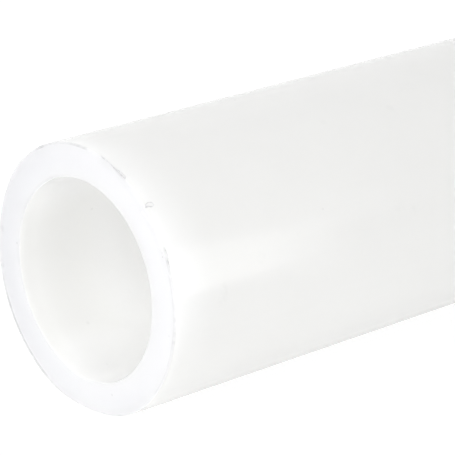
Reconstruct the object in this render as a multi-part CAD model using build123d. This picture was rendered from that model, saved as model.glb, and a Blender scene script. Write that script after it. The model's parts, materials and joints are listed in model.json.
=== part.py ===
from build123d import *
import os

# A hollow nylon bar: one straight length of thick-walled extruded tube, sawn square at both ends.
# It lies on its side along X. The origin is under its middle, on the line that it rests on.
# All sizes are in millimetres.

# The extruded section
OUTER_DIAMETER = 50.8
BORE_DIAMETER = 38.1

# The sawn length
LENGTH = 304.8

# Edges broken by hand with a deburring knife after the saw, as 45 degree flats: the bore's is only just touched
OUTER_EDGE_BREAK = 0.4
BORE_EDGE_BREAK = 0.1

outer_radius = OUTER_DIAMETER / 2
bore_radius = BORE_DIAMETER / 2


def section():
    """The ring that the die gives, on the plane across the bar."""
    return Circle(outer_radius) - Circle(bore_radius)


def sawn_length():
    """The extruded ring cut to length, with its middle at the origin and its axis along X."""
    return extrude(Plane.YZ * section(), amount=LENGTH / 2, both=True)


def break_edges(bar, radius, width):
    """The circular edges of one radius at both sawn ends, each cut back by the same width."""
    rims = bar.edges().filter_by(GeomType.CIRCLE).filter_by(lambda rim: abs(rim.radius - radius) < 0.01)
    return chamfer(rims, length=width)


def hollow_bar():
    """The finished bar, lifted so that it rests on the ground plane."""
    bar = sawn_length()
    bar = break_edges(bar, outer_radius, OUTER_EDGE_BREAK)
    bar = break_edges(bar, bore_radius, BORE_EDGE_BREAK)
    return Pos(0, 0, outer_radius) * bar


os.makedirs("parts", exist_ok=True)
export_step(hollow_bar(), "parts/hollow_bar.step")
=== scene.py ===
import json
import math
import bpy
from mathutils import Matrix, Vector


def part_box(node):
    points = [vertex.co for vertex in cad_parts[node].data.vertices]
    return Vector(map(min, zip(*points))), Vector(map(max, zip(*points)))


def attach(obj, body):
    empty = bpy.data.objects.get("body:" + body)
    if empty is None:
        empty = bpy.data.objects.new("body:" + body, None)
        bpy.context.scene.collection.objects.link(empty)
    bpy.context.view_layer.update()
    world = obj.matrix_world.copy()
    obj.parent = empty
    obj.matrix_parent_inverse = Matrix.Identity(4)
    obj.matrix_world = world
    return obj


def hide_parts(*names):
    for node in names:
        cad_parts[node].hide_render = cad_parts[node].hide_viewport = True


bl_info = {
    "name": "Hollow Nylon Bar",
    "version": (1, 0, 0),
    "blender": (4, 5, 0),
    "location": "View3D > Sidebar > Nylon Bar",
    "description": "Dresses a sawn length of hollow nylon bar and lights it in a white studio",
    "category": "Object",
}

import bpy
from mathutils import Matrix, Vector

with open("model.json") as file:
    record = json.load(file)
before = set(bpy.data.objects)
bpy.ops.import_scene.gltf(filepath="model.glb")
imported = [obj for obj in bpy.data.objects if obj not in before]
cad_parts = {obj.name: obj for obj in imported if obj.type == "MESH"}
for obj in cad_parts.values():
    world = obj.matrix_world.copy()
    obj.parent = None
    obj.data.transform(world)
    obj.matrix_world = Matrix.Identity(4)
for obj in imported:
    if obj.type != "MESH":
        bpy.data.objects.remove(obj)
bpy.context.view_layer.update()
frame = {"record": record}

MM = 0.001

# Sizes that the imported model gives
bar_low, bar_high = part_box("hollow_bar")
mounts = {mount["name"]: mount for mount in frame["record"]["mounts"]}
OUTER_RADIUS = (bar_high.z - bar_low.z) / 2
HALF_LENGTH = (bar_high.x - bar_low.x) / 2
BORE_RADIUS = mounts["bore"]["dims"]["r_mm"] * MM
AXIS_HEIGHT = OUTER_RADIUS


class BarSizes(bpy.types.PropertyGroup):
    """The sizes of the bar."""

    outer_radius: bpy.props.FloatProperty(
        name="Outer radius",
        description="Half of the outside diameter",
        default=OUTER_RADIUS,
        unit="LENGTH",
    )
    bore_radius: bpy.props.FloatProperty(
        name="Bore radius",
        description="Half of the bore's diameter",
        default=BORE_RADIUS,
        unit="LENGTH",
    )
    half_length: bpy.props.FloatProperty(
        name="Half length",
        description="From the middle of the bar to each sawn end",
        default=HALF_LENGTH,
        unit="LENGTH",
    )
    outer_edge_break: bpy.props.FloatProperty(
        name="Outer edge break",
        description="How far the outer edge of each end is cut back",
        default=0.4 * MM,
        unit="LENGTH",
    )
    bore_edge_break: bpy.props.FloatProperty(
        name="Bore edge break",
        description="How far the bore's edge at each end is cut back",
        default=0.1 * MM,
        unit="LENGTH",
    )


class NylonFinish(bpy.types.PropertyGroup):
    """The colours, some of them with painted light and shade, and the gloss of natural nylon."""

    wall_colour: bpy.props.FloatVectorProperty(
        name="Wall colour",
        description="The outside as it is extruded, away from the sawn ends",
        subtype="COLOR",
        default=(0.87, 0.87, 0.861),
        min=0,
        max=1,
    )
    # Painted light: the bore is painted paler deep inside, at its top and at its bottom towards the front,
    # and painted darker close to a sawn end
    bore_colour: bpy.props.FloatVectorProperty(
        name="Bore colour",
        description="The inside of the tube",
        subtype="COLOR",
        default=(0.995, 0.995, 0.990),
        min=0,
        max=1,
    )
    shaded_bore_end_colour: bpy.props.FloatVectorProperty(
        name="Bore end colour",
        description="The inside of the tube close to a sawn end, where no light gathers from further in",
        subtype="COLOR",
        default=(0.885, 0.885, 0.878),
        min=0,
        max=1,
    )
    # Painted light: the glow around a sawn end is painted into the colour
    glow_colour: bpy.props.FloatVectorProperty(
        name="Glow colour",
        description="The walls close to a sawn end, where light comes through the nylon",
        subtype="COLOR",
        default=(0.94, 0.942, 0.94),
        min=0,
        max=1,
    )
    sawn_colour: bpy.props.FloatVectorProperty(
        name="Sawn colour",
        description="The sawn faces",
        subtype="COLOR",
        default=(0.8, 0.801, 0.816),
        min=0,
        max=1,
    )
    # Painted shade: the sawn faces are painted darker to the far side and low down at the front, most of all
    # at the rim
    shaded_sawn_colour: bpy.props.FloatVectorProperty(
        name="Dull sawn colour",
        description="The sawn faces where they are dullest, on the far side and low down at the front",
        subtype="COLOR",
        default=(0.695, 0.699, 0.718),
        min=0,
        max=1,
    )
    # Also the colour that painted shade leans towards, in corners, low down, at the rims and away from the
    # ends
    cloud_and_shade_colour: bpy.props.FloatVectorProperty(
        name="Cloud colour",
        description="What the faint clouds in the nylon and the lines on it lean towards",
        subtype="COLOR",
        default=(0.25, 0.25, 0.22),
        min=0,
        max=1,
    )
    # Also the grey of painted shade along the rim's outline and in the torn threads
    dirt_and_shade_colour: bpy.props.FloatVectorProperty(
        name="Dirt colour",
        description="Specks of dust, smudges, and the grime at the rim and in torn threads",
        subtype="COLOR",
        default=(0.3, 0.3, 0.31),
        min=0,
        max=1,
    )
    # Painted shade: the threads are painted grey for the shade and bent light that make thin white threads
    # look dark
    shaded_thread_colour: bpy.props.FloatVectorProperty(
        name="Thread colour",
        description="Torn threads at the rim, where they are clean",
        subtype="COLOR",
        default=(0.8, 0.8, 0.81),
        min=0,
        max=1,
    )
    # Painted highlight: a bright line on the sawn face
    highlight_colour: bpy.props.FloatVectorProperty(
        name="Rubbed colour",
        description="The thread on the sawn face that is rubbed bright",
        subtype="COLOR",
        default=(0.99, 0.99, 0.99),
        min=0,
        max=1,
    )
    glow_length: bpy.props.FloatProperty(
        name="Glow length",
        description="How far from the sawn end the glow reaches",
        default=11 * MM,
        unit="LENGTH",
    )
    scatter_depth: bpy.props.FloatProperty(
        name="Scatter depth",
        description="How far light goes through the nylon before it is turned aside",
        default=6 * MM,
        unit="LENGTH",
    )
    gloss_roughness: bpy.props.FloatProperty(
        name="Roughness",
        description="Roughness of the extruded surfaces",
        default=0.215,
        min=0,
        max=1,
    )
    sawn_roughness: bpy.props.FloatProperty(
        name="Sawn roughness",
        description="How much rougher the sawn faces are",
        default=0.2,
        min=0,
        max=1,
    )
    saw_line_depth: bpy.props.FloatProperty(
        name="Saw line depth",
        description="How deep the saw's lines are",
        default=0.012 * MM,
        unit="LENGTH",
    )


class StudioLight(bpy.types.PropertyGroup):
    """The light of the white studio."""

    surround: bpy.props.FloatProperty(
        name="Surround",
        description="Brightness of the white surroundings, as they light the bar",
        default=0.372,
        min=0,
    )
    floor_lift: bpy.props.FloatProperty(
        name="Floor lift",
        description="Light that comes up from the lit table under the bar",
        default=0.095,
        min=0,
    )
    lamps: bpy.props.FloatProperty(
        name="Lamps",
        description="Brightness of all the soft lamps together",
        default=1.0,
        min=0,
    )
    card: bpy.props.FloatProperty(
        name="Card",
        description="Brightness of the card whose reflection runs along the front",
        default=2.95,
        min=0,
    )


class Value:
    """A number in a shader: arithmetic on it adds the Math nodes."""

    def __init__(self, shader, socket):
        self.shader = shader
        self.socket = socket

    def math(self, operation, *others):
        return self.shader.math(operation, self, *others)

    def __add__(self, other):
        return self.shader.math("ADD", self, other)

    def __radd__(self, other):
        return self.shader.math("ADD", other, self)

    def __sub__(self, other):
        return self.shader.math("SUBTRACT", self, other)

    def __rsub__(self, other):
        return self.shader.math("SUBTRACT", other, self)

    def __mul__(self, other):
        return self.shader.math("MULTIPLY", self, other)

    def __rmul__(self, other):
        return self.shader.math("MULTIPLY", other, self)

    def __truediv__(self, other):
        return self.shader.math("DIVIDE", self, other)

    def __rtruediv__(self, other):
        return self.shader.math("DIVIDE", other, self)

    def __pow__(self, other):
        return self.shader.math("POWER", self, other)

    def __rpow__(self, other):
        return self.shader.math("POWER", other, self)

    def __neg__(self):
        return self * -1.0

    def __abs__(self):
        return self.math("ABSOLUTE")

    def clamped(self):
        """The value, kept from 0 to 1."""
        return self.shader.math("ADD", self, 0.0, clamp=True)


class Shader:
    """Adds nodes to one material's or the world's tree."""

    def __init__(self, tree):
        self.tree = tree
        tree.nodes.clear()

    def node(self, kind, settings=None, inputs=None):
        """A node of one kind, with its settings made first and then its inputs set or linked."""
        node = self.tree.nodes.new(kind)
        for name, value in (settings or {}).items():
            setattr(node, name, value)
        for name, value in (inputs or {}).items():
            if isinstance(value, Value):
                value = value.socket
            if isinstance(value, bpy.types.NodeSocket):
                self.tree.links.new(value, node.inputs[name])
            else:
                node.inputs[name].default_value = value
        return node

    def value(self, socket):
        return Value(self, socket)

    def math(self, operation, *values, clamp=False):
        """One operation on values, plain numbers among them."""
        settings = {"operation": operation, "use_clamp": clamp}
        return self.value(self.node("ShaderNodeMath", settings, dict(enumerate(values))).outputs[0])

    def ramp(self, value, low, high, first=0.0, last=1.0):
        """One number up to low and another from high on, with a smooth step between them."""
        settings = {"interpolation_type": "SMOOTHSTEP"}
        limits = {"Value": value, "From Min": low, "From Max": high, "To Min": first, "To Max": last}
        return self.value(self.node("ShaderNodeMapRange", settings, limits).outputs["Result"])

    def mix(self, share, first, second):
        """One colour going over to another."""
        # The node has sockets for each kind of data, and these are the colours' ones
        first_socket, second_socket, result_socket = 6, 7, 2
        inputs = {"Factor": share, first_socket: first, second_socket: second}
        return self.node("ShaderNodeMix", {"data_type": "RGBA"}, inputs).outputs[result_socket]

    def place(self):
        """Where a point is, in Object coordinates."""
        return self.node("ShaderNodeTexCoord").outputs["Object"]

    def parts(self, place):
        """The X, Y and Z of a place, as three values."""
        outputs = self.node("ShaderNodeSeparateXYZ", None, {"Vector": place}).outputs
        return [self.value(outputs[axis]) for axis in "XYZ"]

    def rays(self):
        """1 for the camera's own rays, and 1 for those from gloss and glass."""
        outputs = self.node("ShaderNodeLightPath").outputs
        glossy = self.value(outputs["Is Glossy Ray"])
        return self.value(outputs["Is Camera Ray"]), glossy.math("MAXIMUM", outputs["Is Transmission Ray"])

    def noise(self, place, scale, detail=2.0, roughness=0.5, stretch=(1, 1, 1)):
        """Noise, 0 to 1, on coordinates that may be stretched first."""
        moved = self.node("ShaderNodeMapping", None, {"Vector": place, "Scale": stretch}).outputs[0]
        inputs = {"Vector": moved, "Scale": scale, "Detail": detail, "Roughness": roughness}
        return self.value(self.node("ShaderNodeTexNoise", None, inputs).outputs["Fac"])

    def spots(self, place, table):
        """Each listed spot at its strength, even over its core and fading to 0 at its edge."""
        core = 0.3
        total = None
        for from_end, angle, radius, reach, strength in table:
            ends = {0: place, 1: on_bar(from_end, angle, radius)}
            apart = self.node("ShaderNodeVectorMath", {"operation": "DISTANCE"}, ends).outputs["Value"]
            spot = self.ramp(apart, core * reach * MM, reach * MM, strength, 0)
            total = spot if total is None else total.math("MAXIMUM", spot)
        return total

    def arcs(self, angle, radius, table):
        """Along the rim, each listed stretch between two angles at its strength, fading at its ends."""
        # A stretch fades over this many degrees at most, and its inner side over this many mm
        longest_fade = 1.5
        blur = 0.08
        total = None
        for start, end, inner, strength in table:
            fade = min(longest_fade, (end - start) / 3)
            stretch = self.ramp(angle, start - fade, start + fade, 0, strength)
            stretch = stretch * self.ramp(angle, end - fade, end + fade, 1, 0)
            stretch = stretch * self.ramp(radius, (inner - blur) * MM, (inner + blur) * MM)
            total = stretch if total is None else total.math("MAXIMUM", stretch)
        return total

    def bump(self, height, depth):
        """A normal from a height of 0 to 1, for a depth in metres."""
        inputs = {"Height": height, "Distance": depth, "Strength": 1.0}
        return self.node("ShaderNodeBump", None, inputs).outputs["Normal"]

    def light(self, colour, strength):
        """A surface's own even light."""
        return self.node("ShaderNodeEmission", None, {"Color": colour, "Strength": strength}).outputs[0]

    def output(self, socket):
        self.node("ShaderNodeOutputMaterial", None, {"Surface": socket})


def rgba(colour):
    return (*colour, 1.0)


def on_bar(from_end, angle, radius):
    """A place by distance from the near end in mm, angle from the front over the top, and radius in mm."""
    turn = math.radians(angle)
    return Vector(
        (
            from_end * MM - HALF_LENGTH,
            -radius * MM * math.cos(turn),
            AXIS_HEIGHT + radius * MM * math.sin(turn),
        )
    )


# How far from the near end its sawn face is
FACE = 0.0
# Specks of dust on the bar: place as on_bar takes it, how far each reaches in mm, and how strong it is
DUST = (
    (FACE, 172.0, 24.3, 0.9, 0.22),
    (FACE, 189.0, 24.5, 0.7, 0.18),
    (FACE, 174.9, 19.7, 0.22, 0.8),
    (FACE, 291.2, 21.2, 0.3, 0.4),
    (FACE, 351.8, 24.0, 0.2, 0.4),
    (FACE, 25.9, 24.66, 0.2, 0.7),
    (FACE, 27.5, 24.9, 0.16, 0.6),
    (16.7, 165.4, 19.05, 0.4, 0.2),
    (7.0, 262.6, 19.05, 0.3, 0.2),
    (10.4, 230.1, 19.05, 0.5, 0.15),
    (38.7, 96.7, 25.4, 0.35, 0.5),
    (37.1, 25.8, 25.4, 0.3, 0.2),
    (63.8, 60.6, 25.4, 1.2, 0.06),
    (47.5, 62.8, 25.4, 1.0, 0.05),
)
# Faint smudges, given in the same way
SMUDGES = (
    (FACE, 172.5, 24.6, 1.8, 0.9),
    (44.8, 88.7, 25.4, 2.2, 0.6),
    (48.4, 90.9, 25.4, 2.0, 0.6),
    (58.0, 96.0, 25.4, 2.5, 0.4),
    (11.6, 5.9, 25.4, 1.8, 0.7),
    (10.8, 2.2, 25.4, 1.6, 0.6),
    (20.8, 14.0, 25.4, 1.6, 0.6),
    (55.4, 18.1, 25.4, 1.8, 0.5),
    (58.9, 14.2, 25.4, 1.6, 0.5),
    (72.0, 70.0, 25.4, 3.0, 0.4),
    (30.0, 20.0, 25.4, 1.4, 0.4),
)
# Dark lines at the rim, partly grime caught there and partly painted shade along the rim's outline: from one
# angle to another, from which radius in mm outwards, and how strong
RIM_GRIME_AND_SHADE = (
    (-166, -157.5, 24.65, 0.2),
    (-159, -142, 24.68, 0.52),
    (-143.5, -117, 24.7, 0.52),
    (-118.5, -106, 24.8, 0.25),
    (-69.5, -66, 24.9, 0.18),
    (-38, -22, 25.0, 0.13),
    (-22, 18, 24.85, 0.17),
    (18, 25, 25.2, 0.2),
    (-11, -8.8, 24.98, 0.28),
    (-8, -4.8, 25.0, 0.28),
    (-1.5, 1.5, 24.98, 0.24),
    (86.5, 98, 25.0, 0.34),
    (96.5, 118, 25.0, 0.14),
    (115.5, 121.5, 24.95, 0.45),
    (121, 128, 25.0, 0.12),
)
NYLON_IOR = 1.53


def new_material(name):
    material = bpy.data.materials.new(name)
    material.use_nodes = True
    return material, Shader(material.node_tree)


class NylonSurface:
    """The bar's surface: where a point of it is, and its colour and marks there.

    Some of the light inside the nylon is painted into the colour by place, to match the photograph.
    """

    # How far each of these takes the extruded walls towards the cloud and shade colour: clouds and die lines
    # are the nylon's own, the rest are painted shade
    wall_clouds = 0.04
    die_line_shade = 0.01
    unlit_shade = 0.025
    mouth_shade = 0.1
    outer_corner_shade = 0.07
    underside_shade = 0.04
    # How far each of these takes the sawn faces there: clouds and saw lines are the nylon's own, the bore
    # corner and the rim are painted shade
    face_clouds = 0.02
    saw_line_shade = 0.012
    bore_corner_shade = 0.06
    rim_shade_strength = 0.04
    # How far a speck and a smudge of full strength take the colour towards dirt
    dust_shade = 0.5
    smudge_shade = 0.05

    def __init__(self, shader, sizes):
        self.shader = shader
        self.sizes = sizes
        self.place = shader.place()
        x, self.y, z = shader.parts(self.place)
        self.height = z - AXIS_HEIGHT
        self.from_end = sizes.half_length - abs(x)
        self.radius = (self.y * self.y + self.height * self.height) ** 0.5
        self.angle = self.height.math("ARCTAN2", -self.y) * (180 / math.pi)

        middle_radius = (sizes.outer_radius + sizes.bore_radius) / 2
        self.in_bore = shader.ramp(self.radius, sizes.bore_radius + 0.5 * MM, middle_radius, 1, 0)
        self.outside = 1.0 - self.in_bore
        self.sawn = self.near_end(0.05, 0.3)
        self.extruded = 1.0 - self.sawn
        self.far_side = shader.ramp(self.y, -0.1 * sizes.bore_radius, 0.5 * sizes.bore_radius)

        # Lines along the bar from the die, clouds in the nylon, and lines across the ends from the saw
        self.die_lines = shader.noise(self.place, 900, detail=3, roughness=0.6, stretch=(0.008, 1, 1))
        self.clouds = shader.noise(self.place, 70, detail=3, roughness=0.55)
        self.saw_lines = shader.noise(self.place, 700, detail=4, roughness=0.65, stretch=(1, 1, 0.03))
        # Patches of the surface where dirt holds
        self.patches = shader.noise(self.place, 900, detail=2)

    def near_end(self, near, far):
        """1 up to one distance in mm from a sawn end, and 0 from another distance on."""
        return self.shader.ramp(self.from_end, near * MM, far * MM, 1, 0)

    def bore_colour(self, finish):
        """The bore, with painted light: paler deep inside, at its top, and at its bottom towards the front.
        """
        ramp = self.shader.ramp
        bore = self.sizes.bore_radius
        deep = ramp(self.from_end, 8 * MM, 32 * MM)
        top = ramp(self.height, 0.15 * bore, bore, 0, 0.93)
        bottom = ramp(-self.height - self.y * 0.25, 0.52 * bore, bore, 0, 0.95)
        painted_bore_light = deep.math("MAXIMUM", top).math("MAXIMUM", bottom)
        return self.shader.mix(painted_bore_light, rgba(finish.shaded_bore_end_colour), rgba(finish.bore_colour))

    def wall_colour(self, finish):
        """The extruded walls, with painted light: the light that enters a sawn face and comes out around it.
        """
        ramp = self.shader.ramp
        outer = self.sizes.outer_radius
        wall = self.shader.mix(self.in_bore, rgba(finish.wall_colour), self.bore_colour(finish))
        # Most of that light comes out of the sides, half as much out of the top, and hardly any below
        below = ramp(self.height, -0.45 * outer, 0.3 * outer, 0.03, 1)
        above = ramp(self.height, 0.35 * outer, 0.85 * outer, 1, 0.5)
        glow = ramp(self.from_end, 0, finish.glow_length, 1, 0) * self.outside * below * above
        return self.shader.mix(glow, wall, rgba(finish.glow_colour))

    def sawn_colour(self, finish):
        """The sawn faces, with painted shade: darker to the far side and low down at the front, and most of
        all at the rim.
        """
        ramp = self.shader.ramp
        outer = self.sizes.outer_radius
        to_rim = (20.5 * MM, outer)
        far_side = ramp(self.y, -0.5 * outer, outer) * ramp(self.radius, *to_rim, 0.58, 1.04)
        low_down = ramp(self.height, -outer, -0.3 * outer, 1, 0)
        at_front = ramp(self.y, -0.5 * outer, 0, 1, 0)
        sawn_face_shade = far_side + low_down * at_front * ramp(self.radius, *to_rim, 0.2, 0.7)
        return self.shader.mix(sawn_face_shade.clamped(), rgba(finish.sawn_colour), rgba(finish.shaded_sawn_colour))

    def wall_shade(self):
        """How far the extruded walls lean towards the cloud and shade colour, by their marks and by painted
        shade.
        """
        ramp = self.shader.ramp
        marks = self.clouds * self.wall_clouds + self.die_lines * self.die_line_shade
        # The bore shows little of them
        marks = marks * (1.0 - self.in_bore * 0.9)
        # Painted shade: further from the ends the nylon is a little darker, because less light gets in there
        unlit = ramp(self.from_end, 30 * MM, 120 * MM, 0, self.unlit_shade)
        # Painted shade: the corners with a sawn face are lit from both sides, so they are shaded to stay as
        # dull as the rest
        mouth = self.near_end(0, 4) * self.in_bore * self.far_side * self.mouth_shade
        outer_corner = self.near_end(0.2, 1) * self.outside * self.outer_corner_shade
        # Painted shade: low down less light comes out around a sawn face
        low_down = ramp(-self.height, 0, 0.5 * self.sizes.outer_radius, 0, self.underside_shade)
        underside = low_down * self.outside * self.near_end(0.5, 6)
        return marks + unlit + mouth + outer_corner + underside

    def sawn_shade(self):
        """How far the sawn faces lean towards the cloud and shade colour, by their marks and by painted
        shade.
        """
        ramp = self.shader.ramp
        bore = self.sizes.bore_radius
        marks = self.saw_lines * self.saw_line_shade + self.clouds * self.face_clouds
        # Painted shade: darker at the bore's corner on the far side, and towards the outer rim
        bore_corner = ramp(self.radius, bore + 0.1 * MM, bore + 0.7 * MM, self.bore_corner_shade, 0)
        painted_rim_shade = ramp(self.radius, 23.4 * MM, 24.8 * MM, 0, self.rim_shade_strength)
        return marks + bore_corner * self.far_side + painted_rim_shade

    def painted_highlight_line(self):
        """A painted highlight: a bright line on the sawn face that runs down and out over the rim."""
        ramp = self.shader.ramp
        # Its two ends, by angle in degrees and by radius
        bottom, top = 38.0, 47.0
        bottom_radius, top_radius = 25.25 * MM, 24.15 * MM
        down = (top - self.angle) / (top - bottom)
        aside = abs(self.radius - (down * (bottom_radius - top_radius) + top_radius))
        across = ramp(aside, 0.1 * MM, 0.24 * MM, 1, 0)
        from_bottom = ramp(self.angle, bottom, bottom + 2)
        to_top = ramp(self.angle, top - 1.5, top, 1, 0)
        return across * from_bottom * to_top * self.sawn

    def dirt_and_rim_shade(self):
        """Specks, smudges, and dark lines in the broken edge of the rim, which are grime and painted shade.
        """
        ramp = self.shader.ramp
        specks = self.shader.spots(self.place, DUST) * self.dust_shade
        smudges = self.shader.spots(self.place, SMUDGES)
        smudges = smudges * ramp(self.patches, 0.4, 0.65, 0, self.smudge_shade)
        # Grime caught in the rim, and painted shade along the rim's outline
        grime_and_shade = self.shader.arcs(self.angle, self.radius, RIM_GRIME_AND_SHADE) * self.near_end(0.2, 0.4)
        return specks + smudges + grime_and_shade * ramp(self.patches, 0.3, 0.6, 0.75, 1.05)

    def uneven_gloss(self):
        """How much rougher or smoother than even the die lines and the clouds make it."""
        return (self.die_lines - 0.5) * 0.06 + (self.clouds - 0.5) * 0.05

    def relief(self):
        """The saw's lines in the faces, and the die's, which are shallower, in the walls."""
        return self.die_lines * self.extruded * 0.25 + self.saw_lines * self.sawn


def natural_nylon(finish, sizes):
    """Off-white nylon: satin where it is extruded, paler and duller where it is sawn."""
    material, shader = new_material("extruded_nylon")
    bar = NylonSurface(shader, sizes)
    colour = shader.mix(bar.sawn, bar.wall_colour(finish), bar.sawn_colour(finish))
    # Towards the cloud and shade colour, by the nylon's clouds and lines and by painted shade
    shade = bar.wall_shade() * bar.extruded + bar.sawn_shade() * bar.sawn
    colour = shader.mix(shade.clamped(), colour, rgba(finish.cloud_and_shade_colour))
    # A painted highlight on the sawn face
    colour = shader.mix(bar.painted_highlight_line(), colour, rgba(finish.highlight_colour))
    colour = shader.mix(bar.dirt_and_rim_shade().clamped(), colour, rgba(finish.dirt_and_shade_colour))
    roughness = bar.sawn * finish.sawn_roughness + bar.uneven_gloss() + finish.gloss_roughness
    inputs = {
        "Base Color": colour,
        "Roughness": roughness.clamped(),
        "IOR": NYLON_IOR,
        "Subsurface Weight": 1.0,
        "Subsurface Radius": (1.0, 1.0, 1.0),
        "Subsurface Scale": finish.scatter_depth,
        "Normal": shader.bump(bar.relief(), finish.saw_line_depth),
    }
    shader.output(shader.node("ShaderNodeBsdfPrincipled", None, inputs).outputs["BSDF"])
    return material


def torn_nylon(finish):
    """Thin threads of nylon, greyed by grime caught in them and by painted shade."""
    material, shader = new_material("torn_nylon")
    # The threads darken in patches, by grime and by painted shade
    least_darkening, most_darkening = 0.05, 0.45
    grime_and_shade = shader.ramp(shader.noise(shader.place(), 1500, detail=2), 0.35, 0.75, least_darkening, most_darkening)
    colour = shader.mix(grime_and_shade, rgba(finish.shaded_thread_colour), rgba(finish.dirt_and_shade_colour))
    inputs = {"Base Color": colour, "Roughness": 0.45, "IOR": NYLON_IOR}
    shader.output(shader.node("ShaderNodeBsdfPrincipled", None, inputs).outputs["BSDF"])
    return material


def deselect_all():
    if bpy.context.object and bpy.context.object.mode != "OBJECT":
        bpy.ops.object.mode_set(mode="OBJECT")
    bpy.ops.object.select_all(action="DESELECT")


def select_faces(mesh_object, test):
    """In edit mode, exactly the faces that pass the test are selected."""
    bpy.ops.mesh.select_mode(type="FACE")
    bpy.ops.mesh.select_all(action="DESELECT")
    bpy.ops.object.mode_set(mode="OBJECT")
    for face in mesh_object.data.polygons:
        face.select = test(face)
    bpy.ops.object.mode_set(mode="EDIT")


def select_edges(mesh_object, test):
    """In edit mode, exactly the edges whose two ends pass the test are selected."""
    bpy.ops.mesh.select_mode(type="EDGE")
    bpy.ops.mesh.select_all(action="DESELECT")
    bpy.ops.object.mode_set(mode="OBJECT")
    points = [vertex.co.copy() for vertex in mesh_object.data.vertices]
    for edge in mesh_object.data.edges:
        edge.select = test(points[edge.vertices[0]], points[edge.vertices[1]])
    bpy.ops.object.mode_set(mode="EDIT")


def from_axis(point):
    """How far a point is from the bar's axis."""
    return math.hypot(point.y, point.z - AXIS_HEIGHT)


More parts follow.
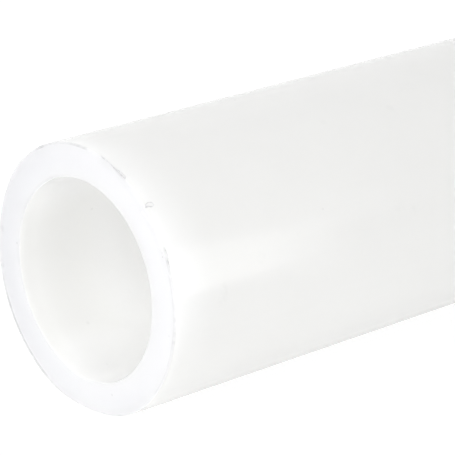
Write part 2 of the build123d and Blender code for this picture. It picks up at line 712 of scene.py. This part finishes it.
class NYLONBAR_OT_tube(bpy.types.Operator):
    """Model the bar: a thick-walled tube with sawn ends and broken edges"""

    bl_idname = "nylonbar.tube"
    bl_label = "Sawn tube"

    around = 360
    face_rings = 6
    edge_segments = 4
    # Faces that point along the bar more squarely than this are its two ends
    end_normal = 0.99
    # A point this close to a rim is on it, and points closer together than doubles are made one
    touching = 0.01 * MM
    doubles = 0.001 * MM
    # Faces that meet at less than this angle are shaded as one round surface
    smooth_angle = math.radians(40)
    # Where rings of points run round the walls, in mm from each end: closest where the edge is rubbed
    wall_rings = (0.8, 1.4, 2.2, 3.5, 6, 10, 20, 40, 80, 120)
    # The outer edge of the near end, by angle round from the front over the top: how wide it is broken, and
    # how far it is rubbed away, both in mm
    hand_broken = (
        (-180, 0.3, 0.0),
        (-157, 0.12, 0.0),
        (-118, 0.12, 0.0),
        (-110, 0.25, 0.05),
        (-100, 0.25, 0.4),
        (-90, 0.25, 0.62),
        (-80, 0.25, 0.55),
        (-68, 0.3, 0.15),
        (-58, 0.15, 0.0),
        (-28, 0.15, 0.0),
        (-18, 0.38, 0.0),
        (8, 0.38, 0.0),
        (15, 0.15, 0.0),
        (34, 0.15, 0.0),
        (50, 0.3, 0.0),
        (78, 0.3, 0.0),
        (95, 0.12, 0.0),
        (140, 0.12, 0.0),
        (152, 0.4, 0.0),
        (165, 0.4, 0.0),
        (180, 0.3, 0.0),
    )
    # How far along the wall and across the face the rubbing reaches
    rubbed_length = 3.6 * MM
    rubbed_face = 3 * MM

    def execute(self, context):
        sizes = context.scene.bar_sizes
        bar = self.sawn_length(context, sizes)
        self.break_edges(bar, sizes, sizes.outer_radius, sizes.outer_edge_break)
        self.break_edges(bar, sizes, sizes.bore_radius, sizes.bore_edge_break)
        self.cut_wall_rings(sizes)
        bpy.ops.mesh.select_all(action="SELECT")
        bpy.ops.mesh.remove_doubles(threshold=self.doubles)
        bpy.ops.mesh.normals_make_consistent(inside=False)
        bpy.ops.object.mode_set(mode="OBJECT")
        self.break_by_hand(bar, sizes)
        bpy.ops.object.shade_smooth_by_angle(angle=self.smooth_angle)
        bar.data.materials.append(natural_nylon(context.scene.nylon_finish, sizes))
        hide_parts("hollow_bar")
        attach(bar, "root")
        return {"FINISHED"}

    def sawn_length(self, context, sizes):
        """The plain tube with rings of points across its two faces, left in edit mode."""
        wall = sizes.outer_radius - sizes.bore_radius
        deselect_all()
        bpy.ops.mesh.primitive_cylinder_add(
            vertices=self.around,
            radius=sizes.outer_radius,
            depth=2 * sizes.half_length,
            end_fill_type="NGON",
            location=(0, 0, AXIS_HEIGHT),
            rotation=(0, math.pi / 2, 0),
        )
        bar = context.object
        bar.name = bar.data.name = "sawn_tube"
        bpy.ops.object.transform_apply(location=True, rotation=True, scale=True)
        bpy.ops.object.mode_set(mode="EDIT")
        select_faces(bar, lambda face: abs(face.normal.x) > self.end_normal)
        for ring in range(self.face_rings):
            bpy.ops.mesh.inset(thickness=wall / self.face_rings, use_individual=True)
        bpy.ops.mesh.bridge_edge_loops()
        return bar

    def break_edges(self, bar, sizes, radius, width):
        """The edges of one radius at both sawn ends, rounded off over one width."""

        def on_rim(point):
            at_end = abs(abs(point.x) - sizes.half_length) < self.touching
            return at_end and abs(from_axis(point) - radius) < self.touching

        select_edges(bar, lambda one, other: one.x * other.x > 0 and on_rim(one) and on_rim(other))
        bpy.ops.mesh.bevel(offset=width, segments=self.edge_segments, profile=0.5, affect="EDGES")

    def cut_wall_rings(self, sizes):
        """Rings of points round the walls, so that they can be shaped near the ends."""
        for from_end in self.wall_rings:
            for side in (-1, 1):
                bpy.ops.mesh.select_all(action="SELECT")
                cut = side * (sizes.half_length - from_end * MM)
                bpy.ops.mesh.bisect(plane_co=(cut, 0, 0), plane_no=(1, 0, 0))

    def break_by_hand(self, bar, sizes):
        """The near end's outer edge made as uneven as the real one, which looks broken by hand."""
        even = sizes.outer_edge_break
        just_past = 1.01 * even
        for vertex in bar.data.vertices:
            place = vertex.co
            from_end = place.x + sizes.half_length
            radius = from_axis(place)
            inwards = sizes.outer_radius - radius
            if from_end > self.rubbed_length or inwards > self.rubbed_face:
                continue
            broken, rubbed = self.hand_broken_at(math.degrees(math.atan2(place.z - AXIS_HEIGHT, -place.y)))
            # The rounded edge gets the width that it has at this angle
            if max(from_end, inwards) < just_past:
                from_end *= broken * MM / even
                inwards *= broken * MM / even
            fading = (1 - from_end / self.rubbed_length) * (1 - inwards / self.rubbed_face)
            shrink = (sizes.outer_radius - inwards - rubbed * MM * fading) / radius
            vertex.co = (
                from_end - sizes.half_length,
                place.y * shrink,
                AXIS_HEIGHT + (place.z - AXIS_HEIGHT) * shrink,
            )

    def hand_broken_at(self, angle):
        """How wide the edge is broken and how far it is rubbed away at one angle, in mm."""
        for before, after in zip(self.hand_broken, self.hand_broken[1:]):
            if angle <= after[0]:
                share = (angle - before[0]) / (after[0] - before[0])
                return [one + (other - one) * share for one, other in zip(before[1:], after[1:])]


class NYLONBAR_OT_rim_threads(bpy.types.Operator):
    """Lay the torn threads and the curl along the rim"""

    bl_idname = "nylonbar.rim_threads"
    bl_label = "Torn threads"

    # How thick a thread is at its two ends and at each knot, as a share of its thickness between them
    end_share = 0.25
    knot_share = 1.3
    # Each thread is its thickness in mm and the places it runs through, as on_bar takes them
    threads = {
        "sliver": (
            0.26,
            (
                (0.3, 78.8, 25.33),
                (0.2, 76.8, 25.33),
                (0.17, 74.6, 25.36),
                (0.17, 72.2, 25.3),
                (0.17, 69.6, 25.25),
                (0.17, 67.4, 25.2),
                (0.17, 65.4, 25.22),
                (0.17, 63.6, 25.3),
                (0.17, 61.6, 25.4),
            ),
        ),
        "sliver_loop": (
            0.18,
            (
                (0.12, 68.0, 25.4),
                (0.3, 66.6, 25.45),
                (0.44, 65.0, 25.46),
                (0.5, 63.5, 25.46),
                (0.44, 62.2, 25.45),
                (0.2, 61.6, 25.4),
            ),
        ),
        "curl": (
            0.13,
            (
                (0.15, 46.8, 25.5),
                (0.5, 46.4, 25.52),
                (0.9, 46.9, 25.52),
                (1.2, 46.2, 25.52),
                (1.6, 46.1, 25.52),
                (2.1, 46.8, 25.52),
                (2.0, 47.8, 25.52),
                (1.45, 48.2, 25.52),
                (0.9, 48.3, 25.52),
                (0.45, 47.8, 25.52),
                (0.3, 46.9, 25.5),
                (0.6, 46.7, 25.48),
                (1.0, 47.4, 25.48),
            ),
        ),
        "curl_end": (0.3, ((0.17, 47.0, 25.44), (0.3, 46.7, 25.48), (0.45, 46.4, 25.48))),
        "hook": (
            0.17,
            (
                (0.33, 29.6, 25.46),
                (0.38, 28.9, 25.48),
                (0.4, 28.0, 25.48),
                (0.43, 26.2, 25.48),
                (0.36, 25.2, 25.46),
                (0.16, 24.7, 25.4),
                (0.12, 25.3, 25.2),
                (0.12, 26.4, 24.98),
            ),
        ),
        "hook_tail": (
            0.16,
            (
                (0.2, 25.0, 25.42),
                (0.3, 23.6, 25.46),
                (0.28, 22.0, 25.46),
                (0.2, 20.0, 25.44),
            ),
        ),
        "hook_knot": (0.42, ((0.26, 25.2, 25.42), (0.26, 24.8, 25.42), (0.26, 24.4, 25.4))),
        "hook_bead": (0.3, ((0.42, 26.5, 25.46), (0.42, 26.1, 25.46), (0.4, 25.7, 25.45))),
    }

    def execute(self, context):
        deselect_all()
        pieces = [self.thread(thickness, places) for thickness, places in self.threads.values()]
        for piece in pieces:
            piece.select_set(True)
        bpy.ops.object.convert(target="MESH")
        bpy.ops.object.join()
        threads = context.object
        threads.name = threads.data.name = "rim_threads"
        bpy.ops.object.transform_apply(location=True, rotation=True, scale=True)
        bpy.ops.object.shade_smooth()
        threads.data.materials.clear()
        threads.data.materials.append(torn_nylon(context.scene.nylon_finish))
        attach(threads, "root")
        return {"FINISHED"}

    def thread(self, thickness, places):
        """One thread, knotty along its way and thin at its two ends."""
        bpy.ops.curve.primitive_nurbs_path_add(location=(0, 0, 0))
        piece = bpy.context.object
        spline = piece.data.splines[0]
        spline.points.add(max(0, len(places) - len(spline.points)))
        last = len(spline.points) - 1
        for number, point in enumerate(spline.points):
            # A thread with fewer places than the new path has points gets points between them
            along = number / last * (len(places) - 1)
            before = min(int(along), len(places) - 2)
            share = along - before
            spot = [one + (other - one) * share for one, other in zip(places[before], places[before + 1])]
            point.co = (*on_bar(*spot), 1.0)
            knotty = self.knot_share if number % 2 else 1.0
            point.radius = self.end_share if number in (0, last) else knotty
        spline.order_u = 4
        spline.use_endpoint_u = True
        spline.resolution_u = 8
        piece.data.dimensions = "3D"
        piece.data.bevel_depth = thickness * MM / 2
        piece.data.bevel_resolution = 2
        piece.data.use_fill_caps = True
        return piece


class NYLONBAR_OT_studio(bpy.types.Operator):
    """Set the floor, the surroundings, the lamps, the reflection card and the camera"""

    bl_idname = "nylonbar.studio"
    bl_label = "White studio"

    # What the lamps are aimed at, near the end that the camera looks into
    aim = Vector((-0.12, 0, 0.03))
    lamp_distance = 1.5
    # Azimuth and elevation in degrees, how bright each makes a white surface that faces it, and width.
    # The brightness was fitted to the photograph's light and then set one by one
    lamp_table = {
        "key": (-67, 35, 0.122, 1.2),
        "axial": (-85, 34, 0.348, 0.9),
        "low_left": (-50, 8, 0.224, 0.9),
        "front": (0, 8, 0.204, 0.9),
        "far_end": (100, 8, 0.955, 0.9),
        "back": (185, 8, 0.092, 0.9),
        "high_back": (185, 45, 0.082, 0.9),
        "top": (-120, 62, 0.083, 0.9),
    }
    # Light turns many times inside nylon and in the bore before it comes out
    light_turns = 32
    white = rgba((1, 1, 1))
    black = rgba((0, 0, 0))
    floor_paint = rgba((0.9, 0.9, 0.9))
    floor_radius = 8
    # The plain white of the floor, a little over 1 so that it stays white where some of the lit paint shows
    plain_white = 1.08
    # How much of what the camera and gloss see of the floor is plain: the rest keeps a faint shadow
    seen_plain = 0.8
    gloss_plain = 0.6
    # The card's corners, low and near the camera first, then round, and where along the bar it fades out
    card_corners = (
        (-0.059, -0.161, 0.002),
        (-0.014, -0.125, 0.01),
        (-0.014, -0.121, 0.044),
        (-0.0535, -0.143, 0.107),
    )
    card_fade = (-0.042, -0.016)
    # The camera was fitted to the sawn end's two circles and the bar's outline
    camera_place = (-0.43659, -0.36384, 0.20267)
    camera_right = Vector((0.75250, -0.65859, 0.0))
    camera_back = Vector((-0.61918, -0.70740, 0.34088))
    camera_lens = 218.15

    def execute(self, context):
        settings = context.scene.studio_light
        self.floor(settings)
        self.surroundings(context, settings)
        for name, (azimuth, elevation, level, width) in self.lamp_table.items():
            self.lamp(name, azimuth, elevation, level * settings.lamps, width)
        self.card(settings)
        self.camera(context)
        context.scene.cycles.max_bounces = self.light_turns
        context.scene.cycles.diffuse_bounces = self.light_turns
        return {"FINISHED"}

    def floor(self, settings):
        """A white floor, lit for the bar and mostly plain white to the camera and in gloss."""
        deselect_all()
        bpy.ops.mesh.primitive_circle_add(vertices=96, radius=self.floor_radius, fill_type="NGON")
        floor = bpy.context.object
        floor.name = floor.data.name = "floor"
        material, shader = new_material("white_floor")
        paint = shader.node("ShaderNodeBsdfDiffuse", None, {"Color": self.floor_paint}).outputs[0]
        lift = shader.light(self.white, settings.floor_lift)
        lit = shader.node("ShaderNodeAddShader", None, {0: paint, 1: lift}).outputs[0]
        plain = shader.light(self.white, self.plain_white)
        camera, gloss = shader.rays()
        whitened = camera * self.seen_plain + gloss * self.gloss_plain
        shader.output(shader.node("ShaderNodeMixShader", None, {0: whitened, 1: lit, 2: plain}).outputs[0])
        floor.data.materials.append(material)

    def surroundings(self, context, settings):
        """White all round, at full strength to the camera and in gloss, and dimmer as a light."""
        world = bpy.data.worlds.new("white_studio")
        world.use_nodes = True
        context.scene.world = world
        shader = Shader(world.node_tree)
        camera, gloss = shader.rays()
        strength = camera.math("MAXIMUM", gloss) * (1 - settings.surround) + settings.surround
        light = shader.node("ShaderNodeBackground", None, {"Color": self.white, "Strength": strength})
        shader.node("ShaderNodeOutputWorld", None, {"Surface": light.outputs[0]})

    def lamp(self, name, azimuth, elevation, level, width):
        """A soft round lamp: azimuth 0 is in front of the bar, and it grows towards the far end."""
        turn = math.radians(azimuth)
        rise = math.radians(elevation)
        away = Vector((math.sin(turn) * math.cos(rise), -math.cos(turn) * math.cos(rise), math.sin(rise)))
        deselect_all()
        bpy.ops.object.light_add(
            type="AREA",
            location=self.aim + away * self.lamp_distance,
            rotation=away.to_track_quat("Z", "Y").to_euler(),
        )
        lamp = bpy.context.object
        lamp.name = lamp.data.name = name
        lamp.data.shape = "DISK"
        lamp.data.size = width
        # The power that lights a white surface at the aim to the given level
        lamp.data.energy = level * math.pi**2 * self.lamp_distance**2
        lamp.visible_camera = False

    def card(self, settings):
        """A small bright card that only shows in the bar's gloss."""
        deselect_all()
        bpy.ops.mesh.primitive_plane_add(size=1)
        card = bpy.context.object
        card.name = card.data.name = "reflection_card"
        # The plane counts its points row by row, and the corners go round
        for vertex, corner in zip((0, 1, 3, 2), self.card_corners):
            card.data.vertices[vertex].co = corner
        material, shader = new_material("bright_card")
        along = shader.parts(shader.place())[0]
        fade = shader.ramp(along, *self.card_fade, 1, 0)
        shader.output(shader.light(shader.mix(fade, self.black, self.white), settings.card))
        card.data.materials.append(material)
        card.visible_camera = False
        card.visible_diffuse = False
        card.visible_transmission = False
        card.visible_shadow = False

    def camera(self, context):
        """The camera at the photograph's place, level from side to side."""
        deselect_all()
        bpy.ops.object.camera_add(location=self.camera_place)
        camera = context.object
        camera.name = "camera"
        back = self.camera_back.normalized()
        up = back.cross(self.camera_right.normalized()).normalized()
        right = up.cross(back)
        camera.rotation_euler = Matrix((right, up, back)).transposed().to_euler()
        camera.data.sensor_width = 36
        camera.data.lens = self.camera_lens
        camera.data.clip_start = 0.01
        camera.data.clip_end = 50
        context.scene.camera = camera


class NYLONBAR_PT_panel(bpy.types.Panel):
    """Lists the pieces and their settings"""

    bl_idname = "NYLONBAR_PT_panel"
    bl_label = "Hollow nylon bar"
    bl_space_type = "VIEW_3D"
    bl_region_type = "UI"
    bl_category = "Nylon Bar"

    def draw(self, context):
        for group in (context.scene.bar_sizes, context.scene.nylon_finish, context.scene.studio_light):
            box = self.layout.box()
            for name in group.__annotations__:
                box.prop(group, name)
        for operator in (NYLONBAR_OT_tube, NYLONBAR_OT_rim_threads, NYLONBAR_OT_studio):
            self.layout.operator(operator.bl_idname)


classes = (
    BarSizes,
    NylonFinish,
    StudioLight,
    NYLONBAR_OT_tube,
    NYLONBAR_OT_rim_threads,
    NYLONBAR_OT_studio,
    NYLONBAR_PT_panel,
)


def register():
    for item in classes:
        bpy.utils.register_class(item)
    bpy.types.Scene.bar_sizes = bpy.props.PointerProperty(type=BarSizes)
    bpy.types.Scene.nylon_finish = bpy.props.PointerProperty(type=NylonFinish)
    bpy.types.Scene.studio_light = bpy.props.PointerProperty(type=StudioLight)


def unregister():
    del bpy.types.Scene.studio_light
    del bpy.types.Scene.nylon_finish
    del bpy.types.Scene.bar_sizes
    for item in reversed(classes):
        bpy.utils.unregister_class(item)


def main():
    register()
    bpy.context.scene.view_settings.view_transform = "Standard"
    bpy.ops.nylonbar.tube()
    bpy.ops.nylonbar.rim_threads()
    bpy.ops.nylonbar.studio()


if __name__ == "__main__":
    main()
